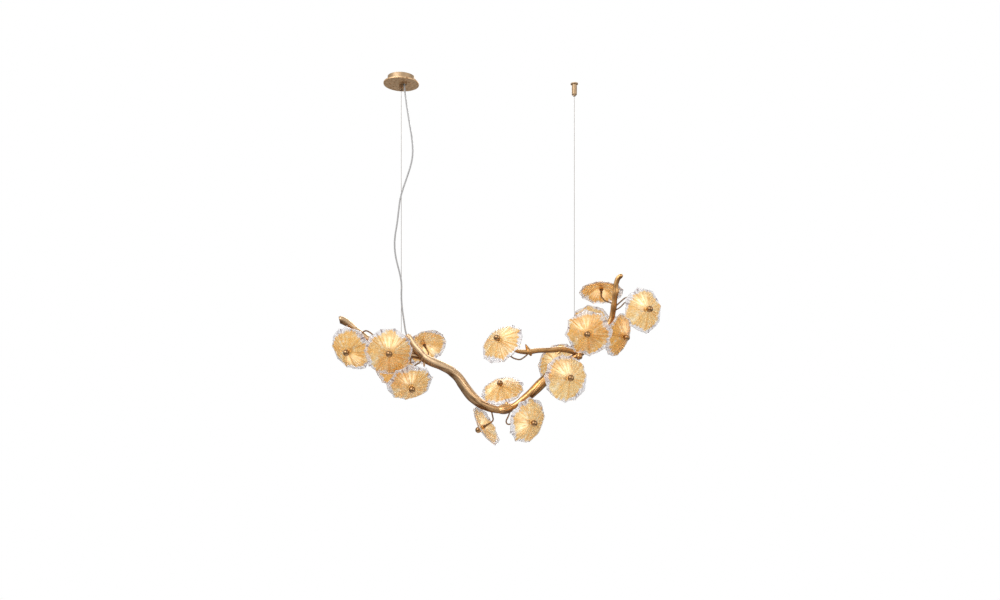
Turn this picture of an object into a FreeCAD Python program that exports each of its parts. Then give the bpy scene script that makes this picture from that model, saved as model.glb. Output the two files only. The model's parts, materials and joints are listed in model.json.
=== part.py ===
import FreeCAD, Part
import math
import os

# Branch chandelier: a cast bough hung on two wires, with glass leaves on thin bent stems.
# Millimetres, +Z up. The origin is the centre of the canopy's ceiling face.
# The viewer of the front stands at -Y, and +X is to the viewer's right.

Vector = FreeCAD.Vector
UP = Vector(0, 0, 1)
ALONG_Y = Vector(0, 1, 0)

# ---- ceiling fittings -------------------------------------------------------------------
PLATE_R = 60.0
PLATE_TOP = -19.0
PLATE_BOTTOM = -26.0
PLATE_EDGE = 2.5
BAND_R = 46.0
SHEET = 1.5
BRACKET_L = 84.0
BRACKET_W = 24.0
BRACKET_T = 2.0
EAR_H = 14.0
EAR_SCREW_Z = -9.0
SCREW_R = 2.0
SLOT_SPACING = 50.0
SLOT_LENGTH = 12.0
SLOT_R = 2.5
TERMINAL_SIZE = Vector(24.0, 12.0, 9.0)
TERMINAL_AT = Vector(12.0, -13.0, -2.0)

GLAND_AT = Vector(12.0, -14.0, 0)
GLAND_R = 7.5
GLAND_FLANGE_R = 10.0
GLAND_BORE_R = 5.2
GLAND_MOUTH_R = 6.4

# ---- suspension -------------------------------------------------------------------------
RIGHT_HANG = Vector(594.0, 53.0, 0)
HANG_ANGLE = math.degrees(math.atan2(RIGHT_HANG.y, RIGHT_HANG.x))
TOP_PIVOT_Z = -28.0
LOW_PIVOT_Z = -900.0
WIRE_R = 0.75
BALL_R = 3.0
LINER_OUTER_R = 4.0
RUNNING_GAP = 0.05
GRIPPER_R = 7.0
GRIPPER_BOTTOM = -40.5
SHANK_R = 6.0
SHANK_TOP = -13.0
NUT_ACROSS_R = 9.0
NUT_H = 5.0
ANCHOR_R = 9.0
ANCHOR_FLANGE_R = 13.0
ANCHOR_FLANGE_H = 4.0
ANCHOR_SCREW_R = 2.25
PLUNGER_TOP = -37.0
PLUNGER_COLLAR_BOTTOM = -38.5
PLUNGER_BOTTOM = -43.5
PLUNGER_R = 5.1
PLUNGER_COLLAR_R = 5.6
PLUNGER_BORE_R = 4.3
LIP_Z = -39.0
CAVITY_TOP = -34.5
SWING_SLOPE = 0.2

FORK_R = 5.0
FORK_HALF_W = 3.8
FORK_SLOT_HALF = 1.8
FORK_TOP = 12.0
FORK_SLOT_TOP = 8.5
SLEEVE_R = 3.0
SLEEVE_TOP = 27.0
PIN_R = 1.5
PIN_HEAD_R = 2.6
PIN_HEAD_T = 1.0
LUG_R = 6.0
LUG_HALF_T = 1.5
LUG_HOLE_R = 1.57
LUG_DEPTH = 30.0

# ---- power cord: hand-laid route --------------------------------------------------------
CORD_R = 2.75
CORD_ROUTE = [
    (12.0, -14.0, -16.0), (12.4, -14.2, -38.0), (16.5, -15.0, -74.0), (23.5, -16.0, -122.0),
    (31.5, -16.2, -172.0), (38.5, -15.4, -214.0), (41.5, -14.0, -256.0), (37.5, -13.0, -290.0),
    (25.5, -12.2, -330.0), (8.5, -12.0, -378.0), (-3.0, -12.4, -418.0), (-7.5, -13.2, -460.0),
    (-12.5, -14.0, -502.0), (-18.5, -14.0, -535.0), (-21.5, -13.2, -568.0),
    (-19.0, -12.2, -604.0), (-11.0, -11.6, -640.0), (-2.5, -11.2, -672.0), (3.0, -10.4, -704.0),
    (1.0, -9.0, -742.0), (3.0, -7.2, -782.0), (8.5, -5.0, -820.0), (12.0, -3.2, -848.0),
    (15.6, -1.6, -870.0), (20.6, -0.2, -883.0),
]

# ---- branch: centre points and radius of each cast length, (x, y, z, radius) ------------
WALL = 2.5
MAIN_BOUGH = [
    (21, 0, -883, 14.0), (36, 4, -907, 14.4), (56, 10, -932, 14.8), (75, 16, -953, 15.2),
    (99, 22, -967, 15.4), (128, 27, -979, 15.4), (160, 31, -995, 16.0), (189, 34, -1020, 17.0),
    (211, 36, -1051, 17.6), (234, 38, -1082, 18.4), (260, 39, -1105, 16.6),
    (291, 40, -1123, 14.2), (325, 41, -1132, 12.8), (353, 42, -1132, 12.8),
]
RIGHT_BOUGH = [
    (353, 42, -1132, 12.8), (360, 42.25, -1132, 12.8), (388, 44, -1120, 13.2),
    (416, 47, -1100, 14.8),
    (447, 50, -1074, 16.2), (475, 53, -1047, 16.8), (503, 57, -1021, 16.6),
    (538, 60, -992, 16.0), (576, 62, -964, 15.0), (613, 64, -938, 14.0), (650, 68, -905, 13.0),
    (686, 70, -871, 12.0), (711, 68, -845, 11.4), (724, 66, -820, 10.6), (729, 62, -795, 9.8),
    (732, 56, -765, 9.5), (736, 50, -730, 9.2), (738, 46, -697, 8.8), (744, 43, -679, 8.4),
    (754, 40, -669, 7.6), (757, 39, -666, 5.0),
]
LEFT_LIMB = [
    (-210, 4, -823, 13.2), (-191, 6, -830, 12.8), (-176, 9, -841, 11.8),
    (-160, 11, -856, 10.8), (-134, 13, -876, 10.0), (-100, 10, -898, 9.6), (-56, 4, -919, 9.5),
    (-4, 0, -934, 9.5), (32, 6, -944, 9.8), (75, 16, -953, 10.0),
]
UPPER_TWIG = [
    (383, 44, -927, 3.4), (401, 45, -931, 5.8), (422, 46, -933, 7.4), (440, 47, -932, 9.2),
    (466, 48, -928, 8.4), (492, 49, -927, 8.2), (516, 50, -926, 8.6), (544, 51, -923, 9.8),
    (570, 52, -927, 8.9), (592, 53, -933, 8.6), (613, 64, -938, 8.4),
]
# thorns: foot, point, foot radius, point radius
LIMB_THORNS = [((29, 6, -944), (30, 8, -974), 6.5, 2.6)]
BOUGH_THORNS = [((77, 12, -960), (77, 8, -984), 6.0, 2.4)]
TWIG_THORNS = [
    ((436, 47, -930), (424, 47, -905), 7.0, 1.6),
    ((440, 47, -934), (442, 47, -946), 6.0, 3.0),
    ((548, 50, -926), (533, 44, -943), 5.5, 1.6),
]
RIGHT_THORNS = [((736, 50, -730), (749, 46, -724), 6.0, 2.0)]
COLLAR = [
    (331, 41.1, -1132.5, 13.4), (340, 41.6, -1132.6, 16.0), (353, 42.2, -1131.0, 17.4),
    (367, 43.0, -1127.5, 16.4), (377, 43.5, -1124.5, 14.2),
]
COLLAR_THORNS = [((355, 42, -1126), (358, 42, -1107), 8.0, 3.0)]
END_BALL_R = 11.5
END_BALL_AT = Vector(608, 30, -949)
END_BALL_NECK_R = 4.0
END_BALL_FOOT = Vector(611, 62, -940)
SPRIG = [(736, 60, -788), (752, 46, -779), (767, 32, -761), (779, 22, -767)]
SPRIG_R = 2.2

INLET_FLANGE_T = 3.0
INLET_NECK_R = 10.0
INLET_NECK_H = 5.0
INLET_THROAT_R = 7.2
INLET_SPIGOT_H = 5.0
HARNESS_R = 2.5
HARNESS_ROUTE = [
    (42, 6, -915), (75, 16, -953), (128, 27, -979), (189, 34, -1020), (234, 38, -1082),
    (291, 40, -1123), (353, 42, -1132), (416, 47, -1100), (475, 53, -1047), (538, 60, -992),
    (613, 64, -938), (686, 70, -871),
]

# ---- glass leaves: hub on the outer face, azimuth and elevation of the way it faces -----
# Azimuth 0 faces the viewer at -Y, and 90 faces +X.
LEAVES = [
    (-170, -51, -933, -23, -24), (-23, -120, -940, 12, -13), (58, 152, -899, -149, 40),
    (43, -69, -1052, 24, -41), (-37, 64, -995, -151, -23), (331, -43, -893, -37, 33),
    (338, 112, -1051, -23, 52), (269, 68, -1200, -107, -30), (442, -55, -1169, 40, -12),
    (562, -91, -1021, 22, 3), (542, 174, -966, -163, 21), (623, -86, -876, -14, -11),
    (681, 193, -827, 154, 20), (701, 144, -696, 172, 67), (769, 65, -880, 51, -16),
    (827, -50, -793, 28, 3),
]
# route of each stem from inside its limb to a point straight behind its leaf
STEM_ROUTES = [
    [(-133, 12, -877), (-127, 6, -900), (-139, -8, -913)],
    [(-138, 12, -872), (-121, -8, -860), (-99, -28, -869), (-60, -62, -905)],
    [(78, 18, -953), (86, 52, -942), (84, 94, -934)],
    [(56, 8, -934), (62, -11, -938), (77, -19, -950), (69, -25, -967), (49, -30, -980),
     (33, -33, -998)],
    [(2, 2, -936), (6, 10, -962), (-6, 22, -974)],
    [(440, 47, -933), (420, 34, -951), (404, 24, -961), (380, 10, -955), (364, 0, -941)],
    [(359, 43, -1128), (360, 78, -1124), (355, 112, -1111)],
    [(302, 40, -1124), (309, 42, -1150), (313, 51, -1170)],
    [(374, 42, -1125), (366, 32, -1152), (355, 18, -1172), (362, 4, -1182),
     (388, -9, -1172)],
    [(540, 58, -992), (550, 24, -1008), (553, -8, -1020), (549, -32, -1025)],
    [(574, 64, -966), (574, 94, -975), (564, 118, -982)],
    [(650, 66, -904), (655, 38, -890), (650, 6, -876), (641, -22, -868)],
    [(690, 72, -868), (686, 104, -860), (675, 134, -850)],
    [(731, 57, -767), (721, 80, -758), (708, 108, -751)],
    [(722, 66, -828), (720, 78, -850), (725, 88, -864)],
    [(735, 55, -776), (750, 44, -762), (769, 30, -744), (786, 14, -752), (800, -2, -780)],
]
STEM_GROUPS = {
    "limb_stems": [1, 2, 5],
    "bough_stems": [3, 4, 8],
    "collar_stems": [7, 9],
    "twig_stem": [6],
    "right_stems": [10, 11, 12, 13, 14, 15, 16],
}
STEM_R = 2.5
STEM_BORE_R = 1.5
STEM_RUN_IN = 14.0

# ---- leaf fittings, measured along the leaf's axis from the glass's outer face ----------
LEAF_R = 82.0
LEAF_DEPTH = 25.0
LEAF_FLAT_R = 12.5
GLASS_T = 4.0
GLASS_BORE_R = 4.3
NIPPLE_R = 4.0
NIPPLE_BORE_R = 2.0
NIPPLE_FRONT = 11.5
NIPPLE_BACK = -27.0
FACE_GAP = 0.1
WASHER_T = 1.5
FRONT_WASHER_R = 5.8
BACK_WASHER_R = 5.2
CUP_R = 8.0
CUP_WALL = 1.2
CUP_DEPTH = 7.0
BOARD_T = 1.6
LENS_T = 2.0
STEM_NUT_R = 6.0
STEM_NUT_T = 4.4
BALL_NUT_R = 11.0
BALL_NUT_FLAT = 1.6

WASHER_FRONT = FACE_GAP
BALL_NUT_FRONT = WASHER_FRONT + WASHER_T
WASHER_BACK = -GLASS_T - FACE_GAP - WASHER_T
CUP_MOUTH = WASHER_BACK
CUP_BACK = CUP_MOUTH - CUP_DEPTH


# ---- small tools ------------------------------------------------------------------------
def rod(radius, low, high, at=Vector(0, 0, 0)):
    """Upright cylinder between two heights."""
    return Part.makeCylinder(radius, high - low, at + UP * low)


def ring(outer, inner, low, high, at=Vector(0, 0, 0)):
    """Upright tube between two heights."""
    return rod(outer, low, high, at).cut(rod(inner, low, high, at))


def box(size, low_corner):
    return Part.makeBox(size.x, size.y, size.z, low_corner)


def hexagon(across_corners_r, low, high, at=Vector(0, 0, 0)):
    """Upright six-sided bar."""
    corners = []
    for turn in range(7):
        angle = math.radians(60 * turn)
        corners.append(at + Vector(across_corners_r * math.cos(angle),
                                   across_corners_r * math.sin(angle), low))
    return Part.Face(Part.makePolygon(corners)).extrude(UP * (high - low))


def fused(shapes):
    whole = shapes[0]
    for shape in shapes[1:]:
        whole = whole.fuse(shape)
    return whole.removeSplitter()


def direction(azimuth, elevation):
    """Unit vector for a facing, as the leaves are listed."""
    level = math.cos(math.radians(elevation))
    return Vector(math.sin(math.radians(azimuth)) * level,
                  -math.cos(math.radians(azimuth)) * level,
                  math.sin(math.radians(elevation)))


def hung_at(shape, point):
    """Turn a piece from the X-Z plane into the plane of the two wires and move it."""
    turned = shape.copy()
    turned.Placement = FreeCAD.Placement(point, FreeCAD.Rotation(UP, HANG_ANGLE))
    return turned


def on_leaf(shape, number):
    """Place a piece, made along +Z from a leaf's outer face, on the leaf."""
    x, y, z, azimuth, elevation = LEAVES[number - 1]
    placed = shape.copy()
    turn = FreeCAD.Rotation(UP, direction(azimuth, elevation))
    placed.Placement = FreeCAD.Placement(Vector(x, y, z), turn)
    return placed


def on_every_leaf(shape):
    numbers = range(1, len(LEAVES) + 1)
    return Part.makeCompound([on_leaf(shape, number) for number in numbers])


def bend_radius(before, corner, after):
    """Radius that 0.45 of the shorter run allows at a corner."""
    turn = (corner - before).getAngle(after - corner)
    shorter = min((corner - before).Length, (after - corner).Length)
    return 0.45 * shorter / math.tan(turn / 2)


def rounded_path(points):
    """Straight runs joined by tangent arcs, and the arcs' radii."""
    edges = []
    radii = []
    start = points[0]
    for before, corner, after in zip(points, points[1:], points[2:]):
        radius = bend_radius(before, corner, after)
        back = (before - corner).normalize()
        ahead = (after - corner).normalize()
        reach = 0.45 * min((corner - before).Length, (after - corner).Length)
        arc_start = corner + back * reach
        arc_end = corner + ahead * reach
        inward = (back + ahead).normalize()
        half_turn = back.getAngle(ahead) / 2
        centre = corner + inward * (reach / math.cos(half_turn))
        arc_middle = centre - inward * radius
        edges.append(Part.LineSegment(start, arc_start).toShape())
        edges.append(Part.Arc(arc_start, arc_middle, arc_end).toShape())
        radii.append(radius)
        start = arc_end
    edges.append(Part.LineSegment(start, points[-1]).toShape())
    return Part.Wire(edges), radii


def tube(points, radius):
    """Round bar along a rounded path."""
    path, radii = rounded_path(points)
    section = Part.Wire(Part.makeCircle(radius, points[0], points[1] - points[0]))
    return path.makePipeShell([section], True, False), path.Length, radii


def cast_length(stations, shrink=0.0):
    """Smooth solid through circles set square to the line of their centres."""
    centres = [Vector(x, y, z) for x, y, z, radius in stations]
    sections = []
    for index, (x, y, z, radius) in enumerate(stations):
        before = centres[max(index - 1, 0)]
        after = centres[min(index + 1, len(centres) - 1)]
        along = (after - before).normalize()
        side = ALONG_Y.cross(along).normalize()
        turn = FreeCAD.Rotation(side, along.cross(side), along, "ZXY")
        circle = Part.makeCircle(radius - shrink)
        circle.Placement = FreeCAD.Placement(centres[index], turn)
        sections.append(Part.Wire(circle))
    return Part.makeLoft(sections, True, False)


def thorn(foot, point, foot_r, point_r):
    foot = Vector(*foot)
    point = Vector(*point)
    return Part.makeCone(foot_r, point_r, (point - foot).Length, foot, point - foot)


def with_thorns(solid, thorns):
    return fused([solid] + [thorn(*sizes) for sizes in thorns])


# ---- ceiling fittings -------------------------------------------------------------------
def slot(x):
    straight = SLOT_LENGTH - 2 * SLOT_R
    deep = BRACKET_T + 2
    middle = box(Vector(straight, 2 * SLOT_R, deep), Vector(x - straight / 2, -SLOT_R, -deep + 1))
    ends = [rod(SLOT_R, 1 - deep, 1, Vector(x + side * straight / 2, 0, 0)) for side in (-1, 1)]
    return fused([middle] + ends)


def ceiling_bracket():
    strip = box(Vector(BRACKET_L, BRACKET_W, BRACKET_T),
                Vector(-BRACKET_L / 2, -BRACKET_W / 2, -BRACKET_T))
    ears = []
    holes = []
    for side in (-1, 1):
        inner = side * (BRACKET_L / 2) - (BRACKET_T if side > 0 else 0)
        ears.append(box(Vector(BRACKET_T, BRACKET_W, EAR_H),
                        Vector(inner, -BRACKET_W / 2, -EAR_H)))
        holes.append(Part.makeCylinder(SCREW_R, 8, Vector(side * BRACKET_L / 2 - 4, 0, EAR_SCREW_Z),
                                       Vector(1, 0, 0)))
    bracket = fused([strip] + ears)
    for hole in holes:
        bracket = bracket.cut(hole)
    for side in (-1, 1):
        bracket = bracket.cut(slot(side * SLOT_SPACING / 2))
    return bracket


def canopy_screws():
    screws = []
    for side in (-1, 1):
        out = Vector(side, 0, 0)
        start = Vector(side * (BRACKET_L / 2 - 5), 0, EAR_SCREW_Z)
        shank = Part.makeCylinder(SCREW_R, BAND_R - BRACKET_L / 2 + 5.5, start, out)
        head = Part.makeSphere(4.0, start + out * (BAND_R - BRACKET_L / 2 + 4.0))
        keep = Part.makeCylinder(5.0, 3.0, Vector(side * BAND_R, 0, EAR_SCREW_Z), out)
        screws.append(fused([shank, head.common(keep)]))
    return Part.makeCompound(screws)


def canopy_band():
    band = ring(BAND_R, BAND_R - SHEET, PLATE_TOP, 0)
    for side in (-1, 1):
        band = band.cut(Part.makeCylinder(SCREW_R, 8, Vector(side * BAND_R - 4, 0, EAR_SCREW_Z),
                                          Vector(1, 0, 0)))
    return band


def canopy_plate():
    plate = rod(PLATE_R, PLATE_BOTTOM, PLATE_TOP)
    rims = [edge for edge in plate.Edges if abs(edge.Length - 2 * math.pi * PLATE_R) < 1e-3]
    plate = plate.makeFillet(PLATE_EDGE, rims)
    hollow = rod(PLATE_R - 4 * SHEET, PLATE_BOTTOM + 2 * SHEET, PLATE_TOP - SHEET)
    plate = plate.cut(hollow)
    plate = plate.cut(rod(BAND_R - 4 * SHEET, PLATE_TOP - 2 * SHEET, PLATE_TOP))
    plate = plate.cut(rod(SHANK_R, PLATE_BOTTOM, PLATE_TOP))
    return plate.cut(rod(GLAND_R, PLATE_BOTTOM, PLATE_TOP, GLAND_AT))


def terminal_block():
    block = box(TERMINAL_SIZE, TERMINAL_AT - Vector(TERMINAL_SIZE.x / 2, TERMINAL_SIZE.y / 2,
                                                    TERMINAL_SIZE.z))
    for place in (-1, 0, 1):
        at = TERMINAL_AT + Vector(place * TERMINAL_SIZE.x / 3, 0, 0)
        block = block.cut(rod(2.0, -TERMINAL_SIZE.z, 1 - TERMINAL_SIZE.z + 3, at))
    return block


def cord_gland():
    body = fused([rod(GLAND_R, PLATE_BOTTOM, PLATE_TOP + 3, GLAND_AT),
                  rod(GLAND_FLANGE_R, PLATE_BOTTOM - 4, PLATE_BOTTOM, GLAND_AT)])
    mouth = Part.makeCone(GLAND_MOUTH_R, GLAND_BORE_R, 5, GLAND_AT + UP * (PLATE_BOTTOM - 4))
    return body.cut(rod(GLAND_BORE_R, PLATE_BOTTOM - 4, PLATE_TOP + 3, GLAND_AT)).cut(mouth)


# ---- suspension, each made at the wire's own line and then hung in place ----------------
def gripper_cavity():
    """Room for the ball and liner, the swinging wire and the release plunger."""
    socket = Part.makeSphere(LINER_OUTER_R + RUNNING_GAP, UP * TOP_PIVOT_Z)
    reach = TOP_PIVOT_Z - CAVITY_TOP
    opening = Part.makeCone(WIRE_R + 0.3 + SWING_SLOPE * reach, WIRE_R + 0.3, reach, UP * CAVITY_TOP)
    chamber = rod(PLUNGER_COLLAR_R + RUNNING_GAP * 2, LIP_Z, CAVITY_TOP)
    lip = rod(PLUNGER_R + RUNNING_GAP, GRIPPER_BOTTOM, LIP_Z)
    return fused([socket, opening, chamber, lip])


def left_gripper():
    body = fused([rod(GRIPPER_R, GRIPPER_BOTTOM, PLATE_BOTTOM),
                  rod(SHANK_R, PLATE_BOTTOM, SHANK_TOP)])
    return body.cut(gripper_cavity())


def gripper_nut():
    return hexagon(NUT_ACROSS_R, PLATE_BOTTOM + 2 * SHEET, PLATE_BOTTOM + 2 * SHEET + NUT_H).cut(
        rod(SHANK_R, PLATE_BOTTOM, SHANK_TOP))


def anchor_flange():
    flange = rod(ANCHOR_FLANGE_R, -ANCHOR_FLANGE_H, 0)
    rim = [edge for edge in flange.Edges
           if abs(edge.BoundBox.ZMax + ANCHOR_FLANGE_H) < 1e-6 and edge.Length > 20]
    flange = flange.makeFillet(2.0, rim)
    return hung_at(flange.cut(rod(ANCHOR_SCREW_R, -ANCHOR_FLANGE_H, 0)), RIGHT_HANG)


def anchor_body():
    body = rod(ANCHOR_R, GRIPPER_BOTTOM, -ANCHOR_FLANGE_H)
    bottom = [edge for edge in body.Edges
              if abs(edge.BoundBox.ZMax - GRIPPER_BOTTOM) < 1e-6 and edge.Length > 20]
    body = body.makeFillet(3.0, bottom)
    screw_room = rod(5.0, -ANCHOR_FLANGE_H - 8, -ANCHOR_FLANGE_H)
    return hung_at(body.cut(gripper_cavity()).cut(screw_room), RIGHT_HANG)


def plunger():
    body = fused([rod(PLUNGER_R, PLUNGER_BOTTOM, PLUNGER_COLLAR_BOTTOM),
                  rod(PLUNGER_COLLAR_R, PLUNGER_COLLAR_BOTTOM, PLUNGER_TOP)])
    return body.cut(rod(PLUNGER_BORE_R, PLUNGER_BOTTOM, PLUNGER_TOP))


def swivel_liner():
    at = UP * TOP_PIVOT_Z
    shell = Part.makeSphere(LINER_OUTER_R, at).cut(Part.makeSphere(BALL_R + RUNNING_GAP, at))
    return shell.cut(rod(WIRE_R + 1.1, TOP_PIVOT_Z - LINER_OUTER_R, TOP_PIVOT_Z))


def wire():
    line = rod(WIRE_R, LOW_PIVOT_Z + FORK_TOP, TOP_PIVOT_Z)
    return fused([line, Part.makeSphere(BALL_R, UP * TOP_PIVOT_Z)])


def across(radius, half_width):
    """Cylinder on the lower pivot's axis, before the piece is hung."""
    return Part.makeCylinder(radius, 2 * half_width, Vector(0, -half_width, 0), ALONG_Y)


def fork():
    cheeks = fused([across(FORK_R, FORK_HALF_W),
                    box(Vector(2 * FORK_R, 2 * FORK_HALF_W, FORK_TOP),
                        Vector(-FORK_R, -FORK_HALF_W, 0)),
                    rod(SLEEVE_R, FORK_TOP, SLEEVE_TOP)])
    gap = box(Vector(4 * FORK_R, 2 * FORK_SLOT_HALF, 2 * FORK_R + FORK_SLOT_TOP),
              Vector(-2 * FORK_R, -FORK_SLOT_HALF, -2 * FORK_R))
    cheeks = cheeks.cut(gap).cut(across(PIN_R, FORK_HALF_W))
    return cheeks.cut(rod(WIRE_R, FORK_TOP, SLEEVE_TOP))


def fork_pin():
    shank = across(PIN_R, FORK_HALF_W)
    heads = [Part.makeCylinder(PIN_HEAD_R, PIN_HEAD_T, Vector(0, side * FORK_HALF_W, 0),
                               ALONG_Y * side) for side in (-1, 1)]
    return fused([shank] + heads)


def eye_lug():
    plate = fused([across(LUG_R, LUG_HALF_T),
                   box(Vector(9, 2 * LUG_HALF_T, LUG_DEPTH), Vector(-4.5, -LUG_HALF_T, -LUG_DEPTH)),
                   Part.makeCone(7.0, 4.0, 10, UP * -LUG_DEPTH)])
    return plate.cut(across(LUG_HOLE_R, LUG_HALF_T))


def main_piece(shape):
    """The largest solid, without the offcut that a cut leaves inside a limb."""
    return max(shape.Solids, key=lambda solid: solid.Volume)


def lug_on(limb, point):
    return main_piece(hung_at(eye_lug(), point).cut(limb))


# ---- branch -----------------------------------------------------------------------------
def cord_inlet(bough):
    """Bell-mouthed cap on the bough's upper end, made along +Z and turned on to the bough."""
    end = Vector(*MAIN_BOUGH[0][:3])
    out = (end - Vector(*MAIN_BOUGH[1][:3])).normalize()
    end_r = MAIN_BOUGH[0][3]
    cap = fused([rod(end_r, 0, INLET_FLANGE_T),
                 rod(INLET_NECK_R, INLET_FLANGE_T, INLET_FLANGE_T + INLET_NECK_H),
                 rod(end_r - WALL - 1.2, -INLET_SPIGOT_H, 0)])
    cap = cap.cut(rod(INLET_THROAT_R, -INLET_SPIGOT_H, INLET_FLANGE_T + INLET_NECK_H))
    cap.Placement = FreeCAD.Placement(end, FreeCAD.Rotation(UP, out))
    return cap.cut(bough)


def collar(main_solid, right_solid):
    sleeve = with_thorns(cast_length(COLLAR), COLLAR_THORNS)
    return sleeve.cut(main_solid).cut(right_solid)


def end_ball(limbs):
    neck = END_BALL_AT - END_BALL_FOOT
    piece = fused([Part.makeSphere(END_BALL_R, END_BALL_AT),
                   Part.makeCylinder(END_BALL_NECK_R, neck.Length, END_BALL_FOOT, neck)])
    for limb in limbs:
        piece = piece.cut(limb)
    return piece


def sprig(limb):
    solid, length, radii = tube([Vector(*point) for point in SPRIG], SPRIG_R)
    tip = Part.makeSphere(SPRIG_R * 1.3, Vector(*SPRIG[-1]))
    return fused([solid, tip]).cut(limb)


def harness():
    solid, length, radii = tube([Vector(*point) for point in HARNESS_ROUTE], HARNESS_R)
    return solid


def power_cord():
    solid, length, radii = tube([Vector(*point) for point in CORD_ROUTE], CORD_R)
    print("cord length", round(length, 1), "volume ratio",
          round(solid.Volume / (math.pi * CORD_R ** 2 * length), 4))
    print("cord bend radii", [round(radius) for radius in radii])
    return solid


# ---- leaves -----------------------------------------------------------------------------
def glass_leaf():
    """Shallow dish with a flat hub, turned about +Z."""
    outer = Part.Arc(Vector(LEAF_FLAT_R, 0, 0), Vector(0.55 * LEAF_R, 0, -0.36 * LEAF_DEPTH),
                     Vector(LEAF_R, 0, -LEAF_DEPTH)).toShape()
    inner = Part.Arc(Vector(LEAF_R - 1.5, 0, -LEAF_DEPTH - GLASS_T * 0.8),
                     Vector(0.55 * LEAF_R - 1, 0, -0.36 * LEAF_DEPTH - GLASS_T),
                     Vector(LEAF_FLAT_R, 0, -GLASS_T)).toShape()
    bore_top = Vector(GLASS_BORE_R, 0, 0)
    bore_low = Vector(GLASS_BORE_R, 0, -GLASS_T)
    first = Part.LineSegment(bore_top, outer.Vertexes[0].Point).toShape()
    rim = Part.LineSegment(Vector(LEAF_R, 0, -LEAF_DEPTH),
                           Vector(LEAF_R - 1.5, 0, -LEAF_DEPTH - GLASS_T * 0.8)).toShape()
    last = Part.LineSegment(Vector(LEAF_FLAT_R, 0, -GLASS_T), bore_low).toShape()
    bore = Part.LineSegment(bore_low, bore_top).toShape()
    section = Part.Face(Part.Wire([first, outer, rim, inner, last, bore]))
    return section.revolve(Vector(0, 0, 0), UP, 360)


def leaf_washers():
    return [ring(FRONT_WASHER_R, NIPPLE_R, WASHER_FRONT, WASHER_FRONT + WASHER_T),
            ring(BACK_WASHER_R, NIPPLE_R, WASHER_BACK, WASHER_BACK + WASHER_T)]


def lamp_cup():
    cup = rod(CUP_R, CUP_BACK, CUP_MOUTH)
    cup = cup.cut(rod(CUP_R - CUP_WALL, CUP_BACK + CUP_WALL, CUP_MOUTH))
    return cup.cut(rod(NIPPLE_R, CUP_BACK, CUP_MOUTH))


def led_board():
    low = CUP_BACK + 2 * CUP_WALL
    return ring(CUP_R - CUP_WALL, NIPPLE_R, low, low + BOARD_T)


def led_lens():
    return ring(CUP_R - CUP_WALL, NIPPLE_R, CUP_MOUTH - LENS_T, CUP_MOUTH)


def stem_nipple():
    return ring(NIPPLE_R, NIPPLE_BORE_R, NIPPLE_BACK, NIPPLE_FRONT)


def stem_nut():
    return hexagon(STEM_NUT_R, CUP_BACK - STEM_NUT_T, CUP_BACK).cut(
        rod(NIPPLE_R, NIPPLE_BACK, CUP_BACK))


def ball_nut():
    ball = Part.makeSphere(BALL_NUT_R, UP * (BALL_NUT_FRONT + BALL_NUT_R - BALL_NUT_FLAT))
    ball = ball.cut(rod(2 * BALL_NUT_R, -2 * BALL_NUT_R, BALL_NUT_FRONT))
    return ball.cut(rod(NIPPLE_R, BALL_NUT_FRONT, NIPPLE_FRONT))


def stem(number, limbs):
    """Bent tube from inside its limb to the back of its leaf's fittings."""
    x, y, z, azimuth, elevation = LEAVES[number - 1]
    facing = direction(azimuth, elevation)
    end = Vector(x, y, z) + facing * NIPPLE_BACK
    route = [Vector(*point) for point in STEM_ROUTES[number - 1]]
    route += [end - facing * STEM_RUN_IN, end]
    outer, length, radii = tube(route, STEM_R)
    bore, length, radii = tube(route, STEM_BORE_R)
    piece = outer.cut(bore)
    for limb in limbs:
        piece = piece.cut(limb)
    print("stem", number, "tightest bend", round(min(radii), 1))
    return main_piece(piece)


# ---- assembly ---------------------------------------------------------------------------
def branch_nodes():
    main_solid = with_thorns(cast_length(MAIN_BOUGH), BOUGH_THORNS)
    right_solid = with_thorns(cast_length(RIGHT_BOUGH), RIGHT_THORNS)
    limb_solid = main_piece(with_thorns(cast_length(LEFT_LIMB), LIMB_THORNS).cut(main_solid))
    twig_solid = main_piece(with_thorns(cast_length(UPPER_TWIG), TWIG_THORNS).cut(right_solid))
    main_casting = main_solid.cut(cast_length(MAIN_BOUGH, WALL))
    sleeve = collar(main_solid, right_solid)
    nodes = {
        "main_bough": main_casting,
        "right_bough": right_solid.cut(cast_length(RIGHT_BOUGH[:-4], WALL)),
        "left_limb": limb_solid,
        "upper_twig": twig_solid,
        "bough_collar": sleeve,
        "cord_inlet": cord_inlet(main_casting),
        "wiring_harness": harness(),
        "end_ball": end_ball([right_solid, twig_solid]),
        "sprig": sprig(right_solid),
        "left_eye_lug": lug_on(limb_solid, UP * LOW_PIVOT_Z),
        "right_eye_lug": lug_on(twig_solid, RIGHT_HANG + UP * LOW_PIVOT_Z),
    }
    limbs = [main_solid, right_solid, limb_solid, twig_solid, sleeve]
    for name, numbers in STEM_GROUPS.items():
        nodes[name] = Part.makeCompound([stem(number, limbs) for number in numbers])
    return nodes


def leaf_nodes():
    nodes = {
        "rubber_washers": Part.makeCompound([on_every_leaf(one) for one in leaf_washers()]),
        "lamp_cups": on_every_leaf(lamp_cup()),
        "led_boards": on_every_leaf(led_board()),
        "led_lenses": on_every_leaf(led_lens()),
        "stem_nipples": on_every_leaf(stem_nipple()),
        "stem_nuts": on_every_leaf(stem_nut()),
        "ball_nuts": on_every_leaf(ball_nut()),
    }
    for number in range(1, len(LEAVES) + 1):
        nodes["glass_leaf_%02d" % number] = on_leaf(glass_leaf(), number)
    return nodes


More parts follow.
